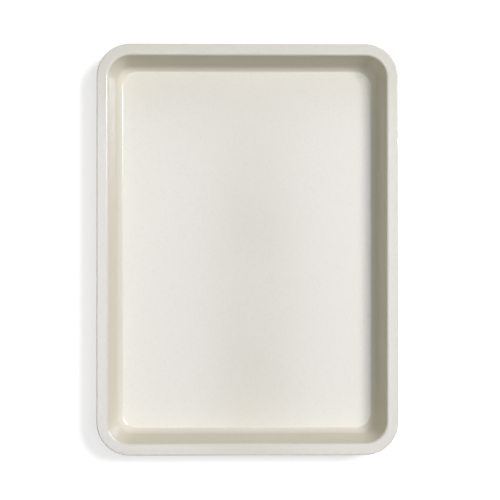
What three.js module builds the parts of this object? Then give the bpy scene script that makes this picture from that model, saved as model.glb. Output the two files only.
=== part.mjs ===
// Quarter sheet pan: one drawn and coated steel sheet, whose rim is rolled round a stiffening wire.
// Millimetres, +Z up. The origin is on the table under the middle of the pan, and +Y runs along its length.
import * as THREE from "three";
import { mergeVertices } from "three/addons/utils/BufferGeometryUtils.js";

const { degToRad, mapLinear } = THREE.MathUtils;
const QUARTER_TURN = Math.PI / 2;

// Overall size, over the rolled rim
const LENGTH = 330;
const WIDTH = 242;
const HEIGHT = 25.4;

// Stock: the coated sheet and the wire
const SHEET = 0.8;
const WIRE_DIAMETER = 3.2;
const WIRE_CLEARANCE = 0.3; // between the wire and the roll, all round
const WIRE_BUTT_GAP = 0.6; // between the wire's two ends, half-way along a long side

// Section through a straight side. An inset is measured in from the rim's outer edge.
const FLOOR_INSET = 20; // where the flat floor ends
const FLOOR_BEND = 2.2; // radius inside the pan, where the floor turns up
const FLOOR_TURN = degToRad(30); // how far it turns there
const FLOOR_FILLET = 9; // radius from there to the wall
const WALL_DRAFT = degToRad(16.5); // from upright
const TOP_BEND = 2.4; // radius over the top, between wall and flange
const EDGE_BEND = 0.9; // radius over the rim's outer edge, where the flange turns down
const ROLL_TURN = degToRad(198); // how far the sheet curls on under the wire from there

// Corners in plan: the drawn wall leans out more there than along the sides
const RIM_CORNER = 26.8;
const FLOOR_CORNER = 12;

// Facets
const CORNER_STEPS = 12;
const FLOOR_STEPS = 3;
const FILLET_STEPS = 4;
const BEND_STEPS = 5;
const EDGE_STEPS = 4;
const ROLL_STEPS = 11;
const WIRE_SIDES = 12;

// Section points worked out from the sizes above, as (inset, height)
const ROLL_RADIUS = WIRE_DIAMETER / 2 + WIRE_CLEARANCE + SHEET;
const ROLL_CENTRE = new THREE.Vector2(ROLL_RADIUS, HEIGHT - ROLL_RADIUS);
const FLOOR_CENTRE = new THREE.Vector2(FLOOR_INSET, SHEET + FLOOR_BEND);
const FILLET_CENTRE = filletCentre();
const BEND_CENTRE = new THREE.Vector2(bendInset(), HEIGHT - TOP_BEND);
const EDGE_CENTRE = new THREE.Vector2(EDGE_BEND, HEIGHT - EDGE_BEND);

// The fillet goes on from the bend at the floor without a kink.
function filletCentre() {
  const inward = new THREE.Vector2(Math.sin(FLOOR_TURN), Math.cos(FLOOR_TURN));
  return inward.multiplyScalar(FLOOR_FILLET - FLOOR_BEND).add(FLOOR_CENTRE);
}

// The straight wall touches the fillet and the top bend, which places the bend along the flange.
function bendInset() {
  const rise = HEIGHT - TOP_BEND - FILLET_CENTRE.y;
  const sidestep = (FLOOR_FILLET + TOP_BEND) / Math.cos(WALL_DRAFT);
  return FILLET_CENTRE.x - rise * Math.tan(WALL_DRAFT) - sidestep;
}

// One skin of the sheet in section, a given depth below the face that is seen from above. It runs from the
// edge of the floor round its bend, up the fillet, wall and top bend, out along the flange, down over the
// rim's outer edge and round the roll to the cut edge.
function skinSection(depth) {
  const floorBend = new THREE.ArcCurve(
    FLOOR_CENTRE.x,
    FLOOR_CENTRE.y,
    FLOOR_BEND + depth,
    -QUARTER_TURN,
    -QUARTER_TURN - FLOOR_TURN,
    true,
  );
  const fillet = new THREE.ArcCurve(
    FILLET_CENTRE.x,
    FILLET_CENTRE.y,
    FLOOR_FILLET + depth,
    -QUARTER_TURN - FLOOR_TURN,
    WALL_DRAFT - Math.PI,
    true,
  );
  const bend = new THREE.ArcCurve(
    BEND_CENTRE.x,
    BEND_CENTRE.y,
    TOP_BEND - depth,
    WALL_DRAFT,
    QUARTER_TURN,
  );
  const edge = new THREE.ArcCurve(
    EDGE_CENTRE.x,
    EDGE_CENTRE.y,
    EDGE_BEND - depth,
    QUARTER_TURN,
    Math.PI,
  );
  const roll = new THREE.ArcCurve(
    ROLL_CENTRE.x,
    ROLL_CENTRE.y,
    ROLL_RADIUS - depth,
    Math.PI,
    Math.PI + ROLL_TURN,
  );
  return [
    ...floorBend.getPoints(FLOOR_STEPS),
    ...fillet.getPoints(FILLET_STEPS).slice(1),
    ...bend.getPoints(BEND_STEPS),
    ...edge.getPoints(EDGE_STEPS),
    ...roll.getPoints(ROLL_STEPS),
  ];
}

// The corner's radius in plan. Across the rim the corners share one centre, and down the wall the radius
// falls evenly to the floor's own.
function cornerRadius(inset, depth) {
  const wallTop = BEND_CENTRE.x + (TOP_BEND - depth) * Math.cos(WALL_DRAFT);
  const wallTopRadius = RIM_CORNER - wallTop;
  if (inset <= wallTop) return RIM_CORNER - inset;
  return mapLinear(inset, wallTop, FLOOR_INSET, wallTopRadius, FLOOR_CORNER);
}

// A rounded rectangle at one inset and height, counter-clockwise from the front of the right-hand side.
function ring(inset, height, radius) {
  const x = WIDTH / 2 - inset - radius;
  const y = LENGTH / 2 - inset - radius;
  const centres = [
    [x, y],
    [-x, y],
    [-x, -y],
    [x, -y],
  ];
  return centres.flatMap(([centreX, centreY], corner) => {
    const start = corner * QUARTER_TURN;
    const arc = new THREE.ArcCurve(centreX, centreY, radius, start, start + QUARTER_TURN);
    return arc.getPoints(CORNER_STEPS).map((p) => new THREE.Vector3(p.x, p.y, height));
  });
}

// Triangles between neighbouring rows of points, facing left of the way from row to row along each row.
function strips(rows, rowsClose) {
  const triangles = [];
  for (let i = 0; i + 1 < rows.length; i += 1) {
    const near = rows[i];
    const far = rows[i + 1];
    const steps = rowsClose ? near.length : near.length - 1;
    for (let j = 0; j < steps; j += 1) {
      const k = (j + 1) % near.length;
      triangles.push(near[j], far[j], far[k], near[j], far[k], near[k]);
    }
  }
  return triangles;
}

// A flat face inside a closed row of points, counter-clockwise when seen from its outer side.
function flatFace(row) {
  const middle = new THREE.Vector3();
  row.forEach((point) => middle.add(point));
  middle.divideScalar(row.length);
  return row.flatMap((point, j) => [middle, point, row[(j + 1) % row.length]]);
}

function solidMesh(name, triangles, material) {
  const geometry = mergeVertices(new THREE.BufferGeometry().setFromPoints(triangles));
  geometry.computeVertexNormals();
  const mesh = new THREE.Mesh(geometry, material);
  mesh.name = name;
  return mesh;
}

// The drawn sheet: its two skins are lofted round the pan and meet at the cut edge inside the roll.
function panBody() {
  const skinRings = (depth) =>
    skinSection(depth).map((p) => ring(p.x, p.y, cornerRadius(p.x, depth)));
  const inside = skinRings(0);
  const underside = skinRings(SHEET);
  const floor = inside[0];
  const base = underside[0];
  const triangles = [
    ...flatFace(floor),
    ...strips([...inside, ...underside.reverse()], true),
    ...flatFace([...base].reverse()),
  ];
  const coating = new THREE.MeshStandardMaterial({
    color: 0xe4dfd1,
    roughness: 0.35,
    metalness: 0,
  });
  return solidMesh("pan_body", triangles, coating);
}

// The wire: a round section swept once round the rim, with its ends butted on a long side.
function rimWire() {
  const wirePath = (inset, height) => {
    const x = WIDTH / 2 - inset;
    return [
      new THREE.Vector3(x, WIRE_BUTT_GAP / 2, height),
      ...ring(inset, height, RIM_CORNER - inset),
      new THREE.Vector3(x, -WIRE_BUTT_GAP / 2, height),
    ];
  };
  const radius = WIRE_DIAMETER / 2;
  const section = new THREE.ArcCurve(ROLL_CENTRE.x, ROLL_CENTRE.y, radius, 0, 2 * Math.PI);
  const rows = section.getPoints(WIRE_SIDES).slice(0, WIRE_SIDES).map((p) => wirePath(p.x, p.y));
  const firstEnd = rows.map((row) => row.at(0)).reverse();
  const lastEnd = rows.map((row) => row.at(-1));
  const triangles = [
    ...strips([...rows, rows[0]], false),
    ...flatFace(firstEnd),
    ...flatFace(lastEnd),
  ];
  const steel = new THREE.MeshStandardMaterial({
    color: 0xa9abad,
    roughness: 0.4,
    metalness: 0.9,
  });
  return solidMesh("rim_wire", triangles, steel);
}

const sheetPan = new THREE.Group();
sheetPan.add(panBody(), rimWire());

export default sheetPan;
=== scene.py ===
"""A quarter sheet pan: one drawn steel sheet with a ceramic coating, its rim rolled round a steel wire."""
import math

import bmesh
import bpy
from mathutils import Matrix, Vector


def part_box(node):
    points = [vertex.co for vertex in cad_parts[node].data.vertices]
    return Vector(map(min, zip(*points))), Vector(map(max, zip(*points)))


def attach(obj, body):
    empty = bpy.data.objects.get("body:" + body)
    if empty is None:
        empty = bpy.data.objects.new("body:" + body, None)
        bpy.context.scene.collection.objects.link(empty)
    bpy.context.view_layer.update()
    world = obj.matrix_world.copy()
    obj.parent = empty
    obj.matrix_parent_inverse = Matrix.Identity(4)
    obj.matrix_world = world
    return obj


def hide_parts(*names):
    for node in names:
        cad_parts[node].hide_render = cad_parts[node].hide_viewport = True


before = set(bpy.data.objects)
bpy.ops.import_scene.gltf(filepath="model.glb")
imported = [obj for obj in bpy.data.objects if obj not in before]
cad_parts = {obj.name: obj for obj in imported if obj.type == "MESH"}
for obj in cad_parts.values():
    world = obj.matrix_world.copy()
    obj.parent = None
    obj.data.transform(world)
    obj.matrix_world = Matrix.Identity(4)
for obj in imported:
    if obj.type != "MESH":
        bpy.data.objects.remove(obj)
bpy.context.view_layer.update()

MM = 0.001
QUARTER_TURN = math.radians(90)
TOUCHING = 0.001 * MM  # points closer than this count as one

# Taken from the frame: the pan over its rim, and the wire that the rim is rolled round
_, pan_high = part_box("pan_body")
wire_low, wire_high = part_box("rim_wire")
HALF_WIDTH, HALF_LENGTH, HEIGHT = pan_high
WIRE_RADIUS = (wire_high.z - wire_low.z) / 2
WIRE_HEIGHT = (wire_high.z + wire_low.z) / 2
WIRE_INSET = HALF_WIDTH - wire_high.x + WIRE_RADIUS

# Section of the sheet. An inset is measured in from the rim's outer edge.
SHEET = 0.8 * MM
FLOOR_INSET = 20 * MM  # where the flat floor ends
FLOOR_BEND = 2.2 * MM  # radius inside the pan, where the floor turns up
FLOOR_TURN = math.radians(30)  # how far it turns there
FLOOR_FILLET = 9 * MM  # radius from there to the wall
WALL_DRAFT = math.radians(16.5)  # from upright
TOP_BEND = 2.4 * MM  # radius over the top, between wall and flange
EDGE_BEND = 0.9 * MM  # radius over the rim's outer edge, where the flange turns down
ROLL_TURN = math.radians(198)  # how far the sheet curls on under the wire from there
WIRE_BUTT_GAP = 0.6 * MM  # between the wire's two ends

# Corners in plan
RIM_CORNER = 26.8 * MM
FLOOR_CORNER = 12 * MM
CORNER_EASE = 0.15  # share of the way in from the wall's top on which corners keep the rim's centre

# How finely the curves are cut
CORNER_STEPS = 28
FLOOR_STEPS = 8
FILLET_STEPS = 10
BEND_STEPS = 12
EDGE_STEPS = 10
ROLL_STEPS = 26
WIRE_SIDES = 24
EDGE_LOOP = 0.25 * MM  # a loop this close to a bend keeps the flat beside it flat
FLOOR_LOOP = 1.0 * MM  # the same, for the floor
CREASE_ANGLE = math.radians(40)

# Patterns of the finishes, in millimetres
CLOUD_MM = 70  # slow drift of the coating's tone and gloss
GRAIN_MM = 2.2  # the coating's pigment grain, drawn coarser than it is, or it would not show
PEEL_MM = 2.6  # the coating's orange peel, drawn coarser for the same reason
ZINC_MM = 3  # patches of the wire's plating
COATING_RELIEF = 0.05 * MM
ZINC_RELIEF = 0.02 * MM

# The photograph's frame, in its pixels
IMAGE_SIZE = 500
PAN_LENGTH_PX = 411.9
PAN_CENTRE_PX = (247.65, 249.35)

# The camera
CAMERA_ABOVE_RIM = 1.1
CAMERA_BESIDE_MIDDLE = (-0.026, -0.012)  # to the left and front, as more of the right-hand wall is seen
LENS_SHIFT = (0.03, 0.015)  # in frame widths; a slight tilt does the rest of the framing
SENSOR_MM = 36.0

# The studio
PAPER_SIZE = 8
PAPER_GAP = 0.05 * MM  # between the paper and the pan's underside
GLOW_NEAR = 0.63  # of the paper, up to the first of the two distances from the pan's middle
GLOW_FAR = 1.0  # from the second distance on
GLOW_DISTANCES = (0.3, 1.5)
ROOM_FILL = 0.02  # what the white walls add to the lamps
OVERHEAD_HEIGHT = 1.15
MIDDLE = (0, 0, 0)


def linear(hex_colour):
    """An sRGB hex colour as linear red, green, blue and alpha."""
    channels = [int(hex_colour[i:i + 2], 16) / 255 for i in (0, 2, 4)]
    return [c / 12.92 if c <= 0.04045 else ((c + 0.055) / 1.055) ** 2.4 for c in channels] + [1.0]


def per_metre(feature_mm):
    """The texture scale at which one feature is this many millimetres wide."""
    return 1 / (feature_mm * MM)


def add_node(tree, kind, settings=None, values=None, links=None):
    """Adds a shader node. links gives, for each input, the node and the output that feed it."""
    node = tree.nodes.new(kind)
    inputs = {socket.identifier: socket for socket in node.inputs}
    for name, value in (settings or {}).items():
        setattr(node, name, value)
    for name, value in (values or {}).items():
        inputs[name].default_value = value
    for name, (source, output) in (links or {}).items():
        outputs = {socket.identifier: socket for socket in source.outputs}
        tree.links.new(outputs[output], inputs[name])
    return node


def start_material(name):
    """An empty material, ready for its nodes."""
    material = bpy.data.materials.new(name)
    material.use_nodes = True
    material.node_tree.nodes.clear()
    return material, material.node_tree


def ceramic_coating():
    """Sol-gel ceramic, sprayed on steel and cured: satin cream with faint orange peel and pigment grain."""
    material, tree = start_material("ceramic_sol_gel_sprayed")
    place = add_node(tree, "ShaderNodeTexCoord")
    at_place = {"Vector": (place, "Object")}
    clouds = add_node(
        tree, "ShaderNodeTexNoise", None, {"Scale": per_metre(CLOUD_MM), "Detail": 2.0}, at_place)
    grain = add_node(
        tree, "ShaderNodeTexNoise", None, {"Scale": per_metre(GRAIN_MM), "Detail": 3.0}, at_place)
    peel = add_node(
        tree, "ShaderNodeTexNoise", None, {"Scale": per_metre(PEEL_MM), "Detail": 2.0}, at_place)
    cream = add_node(
        tree, "ShaderNodeMix", {"data_type": "RGBA"},
        {"A_Color": linear("d3ccb0"), "B_Color": linear("d7d0b4")},
        {"Factor_Float": (clouds, "Fac")})
    grain_amount = add_node(
        tree, "ShaderNodeMapRange", None,
        {"From Min": 0.5, "From Max": 0.75, "To Min": 0.0, "To Max": 0.22},
        {"Value": (grain, "Fac")})
    grained = add_node(
        tree, "ShaderNodeMix", {"data_type": "RGBA"}, {"B_Color": linear("c5bea6")},
        {"A_Color": (cream, "Result_Color"), "Factor_Float": (grain_amount, "Result")})
    gloss = add_node(
        tree, "ShaderNodeMapRange", None,
        {"From Min": 0.3, "From Max": 0.7, "To Min": 0.15, "To Max": 0.18},
        {"Value": (clouds, "Fac")})
    relief = add_node(
        tree, "ShaderNodeMath", {"operation": "MULTIPLY_ADD"}, {"Value_001": 0.35},
        {"Value": (grain, "Fac"), "Value_002": (peel, "Fac")})
    bump = add_node(
        tree, "ShaderNodeBump", None, {"Distance": COATING_RELIEF}, {"Height": (relief, "Value")})
    shader = add_node(
        tree, "ShaderNodeBsdfPrincipled", None, {"IOR": 1.5},
        {
            "Base Color": (grained, "Result_Color"),
            "Roughness": (gloss, "Result"),
            "Normal": (bump, "Normal"),
        })
    add_node(tree, "ShaderNodeOutputMaterial", None, None, {"Surface": (shader, "BSDF")})
    return material


def galvanised_wire():
    """Steel wire, drawn and zinc plated: dull grey metal, a little uneven."""
    material, tree = start_material("galvanised_steel_drawn")
    place = add_node(tree, "ShaderNodeTexCoord")
    zinc = add_node(
        tree, "ShaderNodeTexNoise", None, {"Scale": per_metre(ZINC_MM), "Detail": 4.0},
        {"Vector": (place, "Object")})
    colour = add_node(
        tree, "ShaderNodeMix", {"data_type": "RGBA"},
        {"A_Color": linear("9a9c9e"), "B_Color": linear("b9bbbc")},
        {"Factor_Float": (zinc, "Fac")})
    gloss = add_node(
        tree, "ShaderNodeMapRange", None, {"To Min": 0.32, "To Max": 0.5},
        {"Value": (zinc, "Fac")})
    bump = add_node(
        tree, "ShaderNodeBump", None, {"Distance": ZINC_RELIEF}, {"Height": (zinc, "Fac")})
    shader = add_node(
        tree, "ShaderNodeBsdfPrincipled", None, {"Metallic": 1.0},
        {
            "Base Color": (colour, "Result_Color"),
            "Roughness": (gloss, "Result"),
            "Normal": (bump, "Normal"),
        })
    add_node(tree, "ShaderNodeOutputMaterial", None, None, {"Surface": (shader, "BSDF")})
    return material


def pick(wanted):
    """In edit mode, selects just the points that are wanted, with the edges and faces between them."""
    bpy.ops.mesh.select_all(action="DESELECT")
    mesh = bmesh.from_edit_mesh(bpy.context.object.data)
    for point in mesh.verts:
        point.select = wanted(point.co)
    mesh.select_flush(True)
    bmesh.update_edit_mesh(bpy.context.object.data)


def extrude(*step):
    """Extrudes what is selected by one straight step."""
    bpy.ops.mesh.extrude_region_move(TRANSFORM_OT_translate={"value": step})


def extrude_with_loops(step):
    """Extrudes a flat of the section, with a loop close to the bend at each end."""
    near_bend = step.normalized() * EDGE_LOOP
    for part in (near_bend, step - 2 * near_bend, near_bend):
        extrude(*part)


def spin(centre, axis, angle, steps):
    """Extrudes what is selected round an axis, clockwise as seen from the axis's tip."""
    bpy.ops.mesh.spin(steps=steps, angle=angle, center=centre, axis=axis)


def fillet_inset():
    """The inset of the fillet's centre: the fillet goes on from the floor's bend without a kink."""
    return FLOOR_INSET + (FLOOR_FILLET - FLOOR_BEND) * math.sin(FLOOR_TURN)


def fillet_height():
    """The height of that centre."""
    return SHEET + FLOOR_BEND + (FLOOR_FILLET - FLOOR_BEND) * math.cos(FLOOR_TURN)


def bend_inset():
    """The inset of the top bend's centre: the straight wall touches the fillet and the bend."""
    rise = HEIGHT - TOP_BEND - fillet_height()
    sidestep = (FLOOR_FILLET + TOP_BEND) / math.cos(WALL_DRAFT)
    return fillet_inset() - rise * math.tan(WALL_DRAFT) - sidestep


def draw_section():
    """Draws the middle of the sheet as a line, from the floor's edge to the cut edge in the roll."""
    side = HALF_LENGTH - RIM_CORNER
    lean = Vector((math.cos(WALL_DRAFT), 0, -math.sin(WALL_DRAFT)))
    floor_bend = Vector((HALF_WIDTH - FLOOR_INSET, side, SHEET + FLOOR_BEND))
    fillet = Vector((HALF_WIDTH - fillet_inset(), side, fillet_height()))
    bend = Vector((HALF_WIDTH - bend_inset(), side, HEIGHT - TOP_BEND))
    edge = Vector((HALF_WIDTH - EDGE_BEND, side, HEIGHT - EDGE_BEND))
    roll = Vector((HALF_WIDTH - WIRE_INSET, side, WIRE_HEIGHT))
    wall_foot = fillet + lean * (FLOOR_FILLET + SHEET / 2)
    wall_top = bend - lean * (TOP_BEND - SHEET / 2)
    bpy.ops.mesh.merge(type="CENTER")
    bpy.ops.transform.translate(value=(floor_bend.x, side, SHEET / 2))
    spin(floor_bend, (0, 1, 0), FLOOR_TURN, FLOOR_STEPS)
    spin(fillet, (0, 1, 0), QUARTER_TURN - FLOOR_TURN - WALL_DRAFT, FILLET_STEPS)
    extrude_with_loops(wall_top - wall_foot)
    spin(bend, (0, -1, 0), QUARTER_TURN - WALL_DRAFT, BEND_STEPS)
    extrude_with_loops(Vector((edge.x - bend.x, 0, 0)))
    spin(edge, (0, -1, 0), QUARTER_TURN, EDGE_STEPS)
    extrude_with_loops(Vector((0, 0, roll.z - edge.z)))
    spin(roll, (0, -1, 0), ROLL_TURN, ROLL_STEPS)


def ease_corner(section, corner):
    """Widens the corner ring by ring down the wall, where the drawn sheet spreads to the floor's radius."""
    wall_top = bend_inset() + (TOP_BEND - SHEET / 2) * math.cos(WALL_DRAFT)
    floor_widening = FLOOR_CORNER - RIM_CORNER + FLOOR_INSET
    down_the_wall = [(inset, z) for inset, z in section if inset > wall_top + TOUCHING]
    for inset, z in down_the_wall:
        spun = RIM_CORNER - inset
        way_in = (inset - wall_top) / (FLOOR_INSET - wall_top)
        share = max(0, way_in - CORNER_EASE) / (1 - CORNER_EASE)
        smooth_share = share ** 2 * (3 - 2 * share)
        drawn = spun + smooth_share * floor_widening
        pick(lambda p: abs(p.z - z) < TOUCHING and abs((p - corner).xy.length - spun) < TOUCHING)
        bpy.ops.transform.resize(
            value=(drawn / spun, drawn / spun, 1),
            center_override=(HALF_WIDTH - inset, HALF_LENGTH - inset, z))


def apply_modifier(piece, kind, **settings):
    """Adds a modifier with these settings and applies it."""
    modifier = piece.modifiers.new(kind.lower(), kind)
    for name, value in settings.items():
        setattr(modifier, name, value)
    bpy.ops.object.modifier_apply(modifier=modifier.name)


def close_up():
    """Merges doubled points and turns the faces the same way out."""
    bpy.ops.mesh.select_all(action="SELECT")
    bpy.ops.mesh.remove_doubles(threshold=TOUCHING)
    bpy.ops.mesh.normals_make_consistent(inside=False)


def finish_piece(piece, name, material):
    """Names the shaped piece, smooths it, gives it its finish and sets it on the part's body."""
    piece.name = name
    piece.data.name = name
    bpy.ops.object.shade_smooth_by_angle(angle=CREASE_ANGLE)
    piece.data.materials.append(material)
    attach(piece, "root")


def drawn_pan():
    """The sheet: a quarter is drawn, spun and run out to the middle planes, then mirrored and thickened."""
    bpy.ops.object.select_all(action="DESELECT")
    bpy.ops.mesh.primitive_plane_add(size=SHEET)
    piece = bpy.context.object
    corner = Vector((HALF_WIDTH - RIM_CORNER, HALF_LENGTH - RIM_CORNER, 0))
    bpy.ops.object.mode_set(mode="EDIT")
    draw_section()
    mesh = bmesh.from_edit_mesh(piece.data)
    section = [(HALF_WIDTH - point.co.x, point.co.z) for point in mesh.verts]
    bpy.ops.mesh.select_all(action="SELECT")
    spin(corner, (0, 0, -1), QUARTER_TURN, CORNER_STEPS)
    pick(lambda p: abs(p.y - corner.y) < TOUCHING)
    extrude(0, -corner.y, 0)
    pick(lambda p: abs(p.x - corner.x) < TOUCHING)
    extrude(-corner.x, 0, 0)
    ease_corner(section, corner)
    bpy.ops.object.mode_set(mode="OBJECT")
    apply_modifier(piece, "MIRROR", use_axis=(True, True, False), merge_threshold=TOUCHING)
    bpy.ops.object.mode_set(mode="EDIT")
    pick(lambda p: abs(p.z - SHEET / 2) < TOUCHING)
    bpy.ops.mesh.edge_face_add()
    bpy.ops.mesh.inset(thickness=FLOOR_LOOP)
    close_up()
    bpy.ops.object.mode_set(mode="OBJECT")
    apply_modifier(piece, "SOLIDIFY", thickness=SHEET, offset=0, use_even_offset=True)
    finish_piece(piece, "drawn_pan", ceramic_coating())
    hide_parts("pan_body")


def bent_wire():
    """The rim's wire: a round section run once round the pan, with its two ends almost touching."""
    bpy.ops.object.select_all(action="DESELECT")
    bpy.ops.mesh.primitive_circle_add(
        vertices=WIRE_SIDES, radius=WIRE_RADIUS, fill_type="NGON",
        location=(HALF_WIDTH - WIRE_INSET, WIRE_BUTT_GAP / 2, WIRE_HEIGHT),
        rotation=(QUARTER_TURN, 0, 0))
    piece = bpy.context.object
    bpy.ops.object.transform_apply(location=True, rotation=True, scale=True)
    corner_x = HALF_WIDTH - RIM_CORNER
    corner_y = HALF_LENGTH - RIM_CORNER
    half_side = corner_y - WIRE_BUTT_GAP / 2
    bends_and_runs = (
        ((corner_x, corner_y), (-2 * corner_x, 0, 0)),
        ((-corner_x, corner_y), (0, -2 * corner_y, 0)),
        ((-corner_x, -corner_y), (2 * corner_x, 0, 0)),
        ((corner_x, -corner_y), (0, half_side, 0)),
    )
    bpy.ops.object.mode_set(mode="EDIT")
    bpy.ops.mesh.select_all(action="SELECT")
    extrude(0, half_side, 0)
    for bend, run in bends_and_runs:
        spin((*bend, WIRE_HEIGHT), (0, 0, -1), QUARTER_TURN, CORNER_STEPS)
        extrude(*run)
    close_up()
    bpy.ops.object.mode_set(mode="OBJECT")
    finish_piece(piece, "rim_wire_bent", galvanised_wire())
    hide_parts("rim_wire")


def softbox(name, place, aim, width, length, watts, tint):
    """A rectangular studio lamp, turned to the point that it is aimed at."""
    bpy.ops.object.light_add(type="AREA", location=place)
    lamp = bpy.context.object
    lamp.name = name
    lamp.data.shape = "RECTANGLE"
    lamp.data.size = width
    lamp.data.size_y = length
    lamp.data.energy = watts
    lamp.data.color = linear(tint)[:3]
    lamp.rotation_euler = (Vector(aim) - Vector(place)).to_track_quat("-Z", "Y").to_euler()


def when_seen(tree):
    """1 for camera, mirror and glass rays and 0 for all others: a glow times this lights nothing."""
    path = add_node(tree, "ShaderNodeLightPath")
    first = add_node(
        tree, "ShaderNodeMath", {"operation": "MAXIMUM"}, None,
        {"Value": (path, "Is Camera Ray"), "Value_001": (path, "Is Glossy Ray")})
    return add_node(
        tree, "ShaderNodeMath", {"operation": "MAXIMUM"}, None,
        {"Value": (first, "Value"), "Value_001": (path, "Is Transmission Ray")})


def studio_floor():
    """White paper that glows for the eye alone, less so near the pan, where its shadow has to show."""
    bpy.ops.object.select_all(action="DESELECT")
    bpy.ops.mesh.primitive_plane_add(size=PAPER_SIZE, location=(0, 0, -PAPER_GAP))
    sheet = bpy.context.object
    sheet.name = "studio_floor"
    material, tree = start_material("white_paper")
    place = add_node(tree, "ShaderNodeTexCoord")
    distance = add_node(
        tree, "ShaderNodeVectorMath", {"operation": "LENGTH"}, None, {"Vector": (place, "Object")})
    near, far = GLOW_DISTANCES
    lift = add_node(
        tree, "ShaderNodeMapRange", None,
        {"From Min": near, "From Max": far, "To Min": GLOW_NEAR, "To Max": GLOW_FAR},
        {"Value": (distance, "Value")})
    glow = add_node(
        tree, "ShaderNodeMath", {"operation": "MULTIPLY"}, None,
        {"Value": (when_seen(tree), "Value"), "Value_001": (lift, "Result")})
    paper = add_node(tree, "ShaderNodeBsdfDiffuse", None, {"Color": linear("cdc8ba")})
    lifted = add_node(
        tree, "ShaderNodeEmission", None, {"Color": linear("ffffff")}, {"Strength": (glow, "Value")})
    both = add_node(
        tree, "ShaderNodeAddShader", None, None,
        {"Shader": (paper, "BSDF"), "Shader_001": (lifted, "Emission")})
    add_node(tree, "ShaderNodeOutputMaterial", None, None, {"Surface": (both, "Shader")})
    sheet.data.materials.append(material)


def studio_lamps():
    """A soft key from the right and behind, softboxes overhead and a weak fill from the left."""
    softbox(
        "key", place=(1.571, 0.801, 2.427), aim=MIDDLE, width=1.0, length=0.9, watts=101, tint="e4e7ff")
    overheads = (
        ("overhead_left", -0.165, -0.04, 0.3, 0.6, 2.62),
        ("overhead_back", 0.03, 0.22, 0.12, 0.2, 0.12),
        ("overhead_right", 0.19, -0.03, 0.2, 0.6, 1.83),
    )
    for name, x, y, width, length, watts in overheads:
        softbox(name, (x, y, OVERHEAD_HEIGHT), (x, y, 0), width, length, watts, tint="e0e6ff")
    softbox(
        "fill_left", place=(-1.04, 0, 0.937), aim=MIDDLE, width=0.7, length=0.6, watts=1.0, tint="ffffff")


def studio_walls():
    """White walls for the eye and for reflections, which add little to the light of the lamps."""
    world = bpy.data.worlds.new("studio")
    bpy.context.scene.world = world
    world.use_nodes = True
    tree = world.node_tree
    tree.nodes.clear()
    walls = add_node(
        tree, "ShaderNodeBackground", None, {"Color": linear("ffffff")},
        {"Strength": (when_seen(tree), "Value")})
    fill = add_node(
        tree, "ShaderNodeBackground", None, {"Color": linear("ffffff"), "Strength": ROOM_FILL})
    both = add_node(
        tree, "ShaderNodeAddShader", None, None,
        {"Shader": (walls, "Background"), "Shader_001": (fill, "Background")})
    add_node(tree, "ShaderNodeOutputWorld", None, None, {"Surface": (both, "Shader")})


def camera_above():
    """The photograph's view: down on the pan from a little beside its middle."""
    metres_per_px = 2 * HALF_LENGTH / PAN_LENGTH_PX
    frame_width = IMAGE_SIZE * metres_per_px
    x, y = CAMERA_BESIDE_MIDDLE
    shift_x, shift_y = LENS_SHIFT
    aim_x = (IMAGE_SIZE / 2 - PAN_CENTRE_PX[0]) * metres_per_px - shift_x * frame_width
    aim_y = (PAN_CENTRE_PX[1] - IMAGE_SIZE / 2) * metres_per_px - shift_y * frame_width
    tilt_x = math.atan2(aim_y - y, CAMERA_ABOVE_RIM)
    tilt_y = math.atan2(x - aim_x, CAMERA_ABOVE_RIM)
    bpy.ops.object.camera_add(
        location=(x, y, HEIGHT + CAMERA_ABOVE_RIM), rotation=(tilt_x, tilt_y, 0))
    camera = bpy.context.object
    camera.data.sensor_width = SENSOR_MM
    camera.data.lens = SENSOR_MM * CAMERA_ABOVE_RIM / frame_width
    camera.data.shift_x = shift_x
    camera.data.shift_y = shift_y
    bpy.context.scene.camera = camera


camera_above()
drawn_pan()
bent_wire()
studio_floor()
studio_lamps()
studio_walls()
bpy.context.scene.view_settings.view_transform = "Standard"
